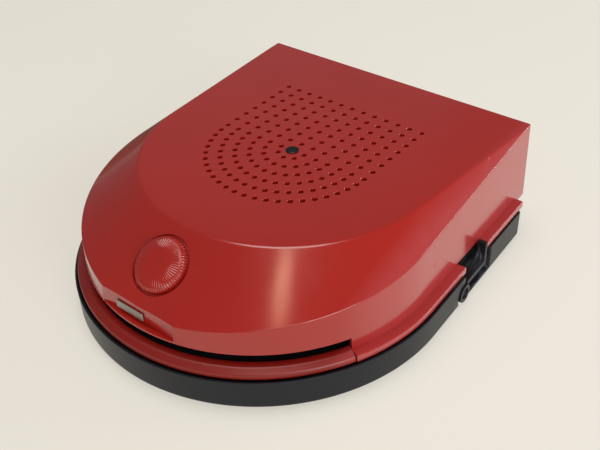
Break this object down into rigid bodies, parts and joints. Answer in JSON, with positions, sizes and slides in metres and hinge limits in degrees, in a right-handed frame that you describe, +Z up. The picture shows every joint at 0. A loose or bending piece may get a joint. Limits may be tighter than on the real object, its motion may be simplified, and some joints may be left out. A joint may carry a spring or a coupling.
{
  "type": "portable record player",
  "caption": "Portable slot-loading player for 7-inch records: red horseshoe case with speaker grille, sloped front with volume knob, record slot, black base and side eject lever.",
  "frame": {"origin": "centre of the footprint, on the surface that the rubber feet stand on", "axes": "+Z up, +Y towards the straight back, -Y towards the record slot, +X towards the eject lever's side"},
  "size_m": [0.2144, 0.2328, 0.0678],
  "materials": {
    "red_gloss": "glossy moulded red styrene with fine scuffs",
    "black_plastic": "satin black moulded plastic",
    "black_rubber": "matt black rubber",
    "grey_plastic": "satin grey moulded plastic",
    "ivory_plastic": "satin ivory moulded plastic",
    "zinc_steel": "zinc plated pressed steel",
    "brass": "turned brass",
    "aluminium": "plain satin aluminium",
    "ferrite": "dark grey ferrite and varnished iron",
    "paper_cone": "pressed black paper",
    "speaker_cloth": "black woven speaker cloth",
    "circuit_board": "brown phenolic board"
  },
  "bodies": {
    "case": {"top_cover": "red_gloss", "front_lip": "red_gloss", "base_shell": "black_plastic", "deck_plate": "black_plastic", "battery_box": "black_plastic", "dc_socket": "black_plastic", "tonearm_post": "black_plastic", "grille_rivet": "black_plastic", "grille_cloth": "speaker_cloth", "speaker_frame": "zinc_steel", "speaker_magnet": "ferrite", "speaker_cone": "paper_cone", "nameplate": "aluminium", "volume_potentiometer": "zinc_steel", "potentiometer_nut": "zinc_steel", "spindle_bush": "brass", "chassis_plate": "zinc_steel", "motor_bracket": "zinc_steel", "motor": "zinc_steel", "drive_belt": "black_rubber", "clamp_post": "zinc_steel", "circuit_board": "circuit_board", "driver_transformer": "ferrite", "output_transformer": "ferrite", "output_transistor_left": "aluminium", "output_transistor_right": "aluminium", "filter_capacitor": "aluminium", "battery_contact_left": "brass", "battery_contact_right": "brass", "case_screw_front_left": "zinc_steel", "case_screw_front_right": "zinc_steel", "case_screw_rear_left": "zinc_steel", "case_screw_rear_right": "zinc_steel", "foot_front_left": "black_rubber", "foot_front_right": "black_rubber", "foot_rear_left": "black_rubber", "foot_rear_right": "black_rubber"},
    "knob": {"volume_knob": "red_gloss", "potentiometer_shaft": "aluminium"},
    "turntable": {"turntable_spindle": "zinc_steel", "drive_wheel": "ivory_plastic", "platter": "aluminium", "platter_mat": "black_rubber", "centre_hub": "ivory_plastic"},
    "motor_rotor": {"motor_shaft": "zinc_steel", "motor_pulley": "brass"},
    "ejector": {"ejector": "ivory_plastic"},
    "clamp_arm": {"clamp_arm": "zinc_steel", "clamp_pin": "zinc_steel"},
    "clamp_disc": {"clamp_disc": "grey_plastic"},
    "tonearm_yoke": {"tonearm_yoke": "grey_plastic"},
    "tonearm": {"tonearm": "grey_plastic", "tonearm_pin": "zinc_steel", "counterweight": "ferrite", "cartridge": "ivory_plastic", "stylus": "black_plastic"},
    "eject_lever": {"eject_lever": "black_plastic", "lever_pin": "zinc_steel", "lever_crank": "zinc_steel"},
    "battery_door": {"battery_door": "red_gloss"}
  },
  "joints": [
    {"name": "volume_turn", "type": "hinge", "parent": "case", "child": "knob", "pos_m": [0, -0.08635, 0.05417], "axis": [0, -0.5838, 0.8119], "range_deg": [0, 280]},
    {"name": "platter_spin", "type": "hinge", "parent": "case", "child": "turntable", "pos_m": [0, -0.00915, 0], "axis": [0, 0, 1], "continuous": true},
    {"name": "motor_spin", "type": "hinge", "parent": "case", "child": "motor_rotor", "pos_m": [-0.062, 0.09645, 0], "axis": [0, 0, 1], "continuous": true},
    {"name": "ejector_slide", "type": "slide", "parent": "case", "child": "ejector", "axis": [0, 1, 0], "range_m": [0, 0.03]},
    {"name": "clamp_tilt", "type": "hinge", "parent": "case", "child": "clamp_arm", "pos_m": [-0.0921, -0.00915, 0.0351], "axis": [0, 1, 0], "range_deg": [0, 3.2]},
    {"name": "clamp_disc_spin", "type": "hinge", "parent": "clamp_arm", "child": "clamp_disc", "pos_m": [0, -0.00915, 0.0345], "axis": [0, 0, 1], "continuous": true},
    {"name": "tonearm_swing", "type": "hinge", "parent": "case", "child": "tonearm_yoke", "pos_m": [0.078, 0.06205, 0.0325], "axis": [0, 0, 1], "range_deg": [-28, 0]},
    {"name": "tonearm_dip", "type": "hinge", "parent": "tonearm_yoke", "child": "tonearm", "pos_m": [0.078, 0.06205, 0.0325], "axis": [0.9962, 0.0872, 0], "range_deg": [0, 1.2]},
    {"name": "lever_swing", "type": "hinge", "parent": "case", "child": "eject_lever", "pos_m": [0.10527, 0.0299, 0.0076], "axis": [0.9984, 0.0562, 0], "range_deg": [0, 25]},
    {"name": "battery_door_swing", "type": "hinge", "parent": "case", "child": "battery_door", "pos_m": [0, 0.11515, 0.0266], "axis": [1, 0, 0], "range_deg": [-95, 0]}
  ],
  "couplings": [
    {"joint": "motor_spin", "follows": "platter_spin", "ratio": 9.3784},
    {"joint": "clamp_disc_spin", "follows": "platter_spin", "ratio": 1},
    {"joint": "ejector_slide", "follows": "lever_swing", "m_per_rad": 0.06853},
    {"joint": "clamp_tilt", "follows": "lever_swing", "ratio": 0.1276}
  ]
}
